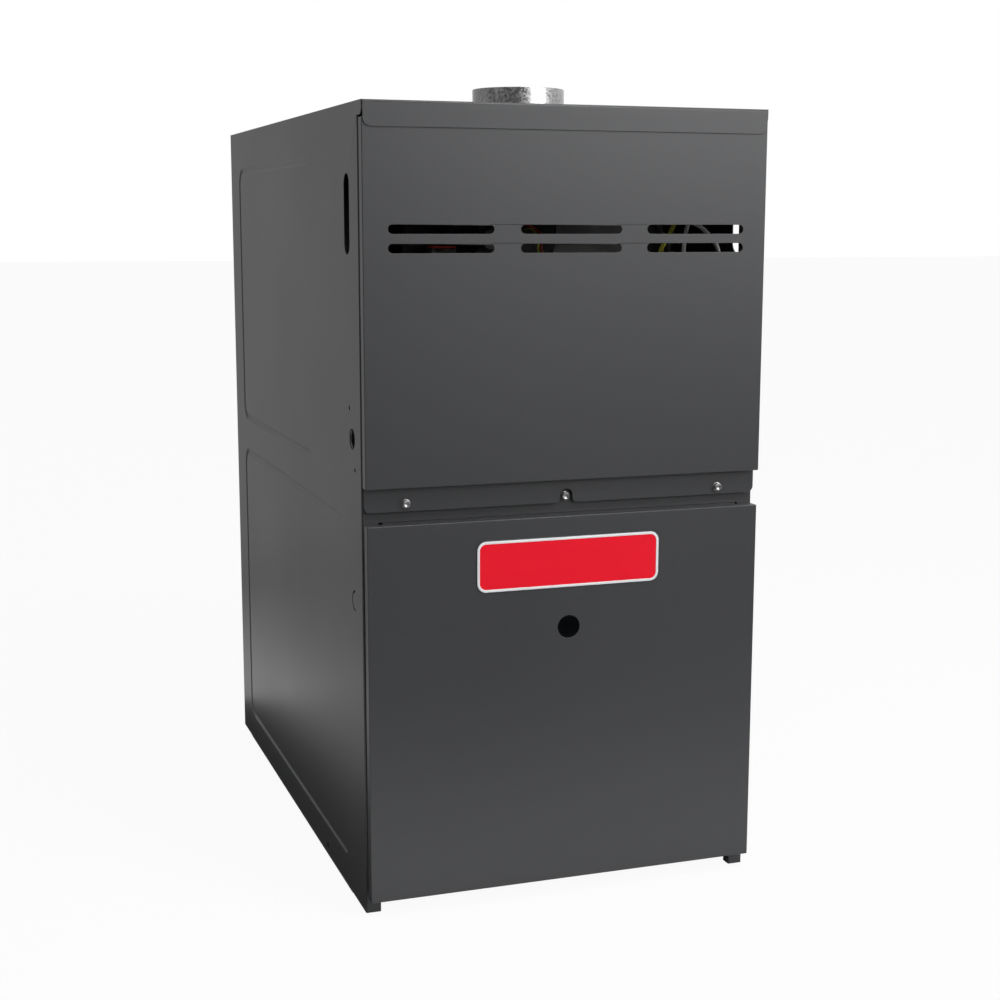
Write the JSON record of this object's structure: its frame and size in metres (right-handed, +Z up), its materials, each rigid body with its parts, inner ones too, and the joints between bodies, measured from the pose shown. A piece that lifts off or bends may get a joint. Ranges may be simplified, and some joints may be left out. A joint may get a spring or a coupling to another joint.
{
  "type": "forced air gas furnace",
  "caption": "Upflow forced air gas furnace: grey sheet-steel cabinet with louvred upper door, lower blower door with sight glass, and round vent on top.",
  "frame": {"origin": "on the floor, under the middle of the whole object's bounding box", "axes": "+Z up, front with the doors towards -Y, +X to the right seen from the front"},
  "size_m": [0.4444, 0.7324, 0.8737],
  "materials": {
    "cabinet_paint": "semi-gloss dark grey powder coat",
    "galvanised": "galvanised sheet with spangle",
    "aluminised": "aluminised steel, dull",
    "zinc": "bright zinc plate",
    "black_paint": "black enamel, satin",
    "cast_aluminium": "as cast",
    "black_plastic": "moulded, satin",
    "red_plastic": "moulded, glossy",
    "plate_red": "red lacquered plate with a bare rim",
    "ceramic": "unglazed white ceramic",
    "board_green": "green circuit board",
    "hose_rubber": "grey silicone hose",
    "wire_yellow": "yellow insulated wire",
    "foil_blanket": "foil-faced fibre blanket",
    "smoked_glass": "dark sight glass"
  },
  "bodies": {
    "cabinet": {"left_side_panel": "cabinet_paint", "right_side_panel": "cabinet_paint", "back_panel": "cabinet_paint", "top_panel": "cabinet_paint", "door_rail": "cabinet_paint", "blower_deck": "galvanised", "base_frame": "galvanised", "vestibule_panel": "galvanised", "insulation_blanket": "foil_blanket", "rail_screw": "zinc", "exchanger_tube_1": "aluminised", "exchanger_tube_2": "aluminised", "exchanger_tube_3": "aluminised", "exchanger_tube_4": "aluminised", "tube_saddle": "aluminised", "collector_box": "aluminised", "inducer_housing": "black_paint", "inducer_motor": "black_paint", "vent_collar": "galvanised", "burner_1": "aluminised", "burner_2": "aluminised", "burner_3": "aluminised", "burner_4": "aluminised", "burner_rack": "galvanised", "gas_manifold": "black_paint", "gas_valve": "cast_aluminium", "gas_inlet_plug": "red_plastic", "hot_surface_igniter": "ceramic", "flame_sensor": "ceramic", "rollout_switch_left": "black_plastic", "rollout_switch_right": "black_plastic", "limit_switch": "black_plastic", "pressure_switch": "black_plastic", "pressure_hose": "hose_rubber", "blower_housing": "galvanised", "blower_motor": "black_paint", "motor_mount": "zinc", "run_capacitor": "cast_aluminium", "junction_box": "galvanised", "junction_box_cover": "galvanised", "control_panel": "galvanised", "control_board": "board_green", "transformer": "black_paint", "door_switch": "black_plastic", "wiring_harness": "wire_yellow"},
    "upper_door": {"upper_door": "cabinet_paint", "door_screw_left": "zinc", "door_screw_right": "zinc"},
    "lower_door": {"lower_door": "cabinet_paint", "sight_glass": "smoked_glass", "name_plate": "plate_red"},
    "blower_wheel": {"blower_wheel": "galvanised", "blower_shaft": "zinc"},
    "inducer_wheel": {"inducer_wheel": "galvanised", "inducer_cooling_fan": "black_plastic"},
    "gas_valve_knob": {"gas_valve_knob": "black_plastic"},
    "rollout_reset_left": {"rollout_reset_left": "red_plastic"},
    "rollout_reset_right": {"rollout_reset_right": "red_plastic"},
    "door_switch_plunger": {"door_switch_plunger": "red_plastic"}
  },
  "joints": [
    {"name": "upper_door_tilt", "type": "hinge", "parent": "cabinet", "child": "upper_door", "pos_m": [0, -0.3652, 0.8219], "axis": [-1, 0, 0], "range_deg": [0, 45]},
    {"name": "lower_door_pull", "type": "slide", "parent": "cabinet", "child": "lower_door", "axis": [0, -1, 0], "range_m": [0, 0.3]},
    {"name": "blower_spin", "type": "hinge", "parent": "cabinet", "child": "blower_wheel", "pos_m": [0, 0.0238, 0.2153], "axis": [1, 0, 0], "continuous": true},
    {"name": "inducer_spin", "type": "hinge", "parent": "cabinet", "child": "inducer_wheel", "pos_m": [-0.06793, -0.2, 0.7117], "axis": [0, 1, 0], "continuous": true},
    {"name": "gas_valve_turn", "type": "hinge", "parent": "cabinet", "child": "gas_valve_knob", "pos_m": [-0.102, -0.345, 0.5983], "axis": [0, 1, 0], "range_deg": [0, 90]},
    {"name": "rollout_reset_left_push", "type": "slide", "parent": "cabinet", "child": "rollout_reset_left", "axis": [0, 1, 0], "range_m": [0, 0.0015], "stiffness_N_per_m": 400},
    {"name": "rollout_reset_right_push", "type": "slide", "parent": "cabinet", "child": "rollout_reset_right", "axis": [0, 1, 0], "range_m": [0, 0.0015], "stiffness_N_per_m": 400},
    {"name": "door_switch_push", "type": "slide", "parent": "cabinet", "child": "door_switch_plunger", "axis": [0, 1, 0], "range_m": [0, 0.003], "stiffness_N_per_m": 300}
  ]
}
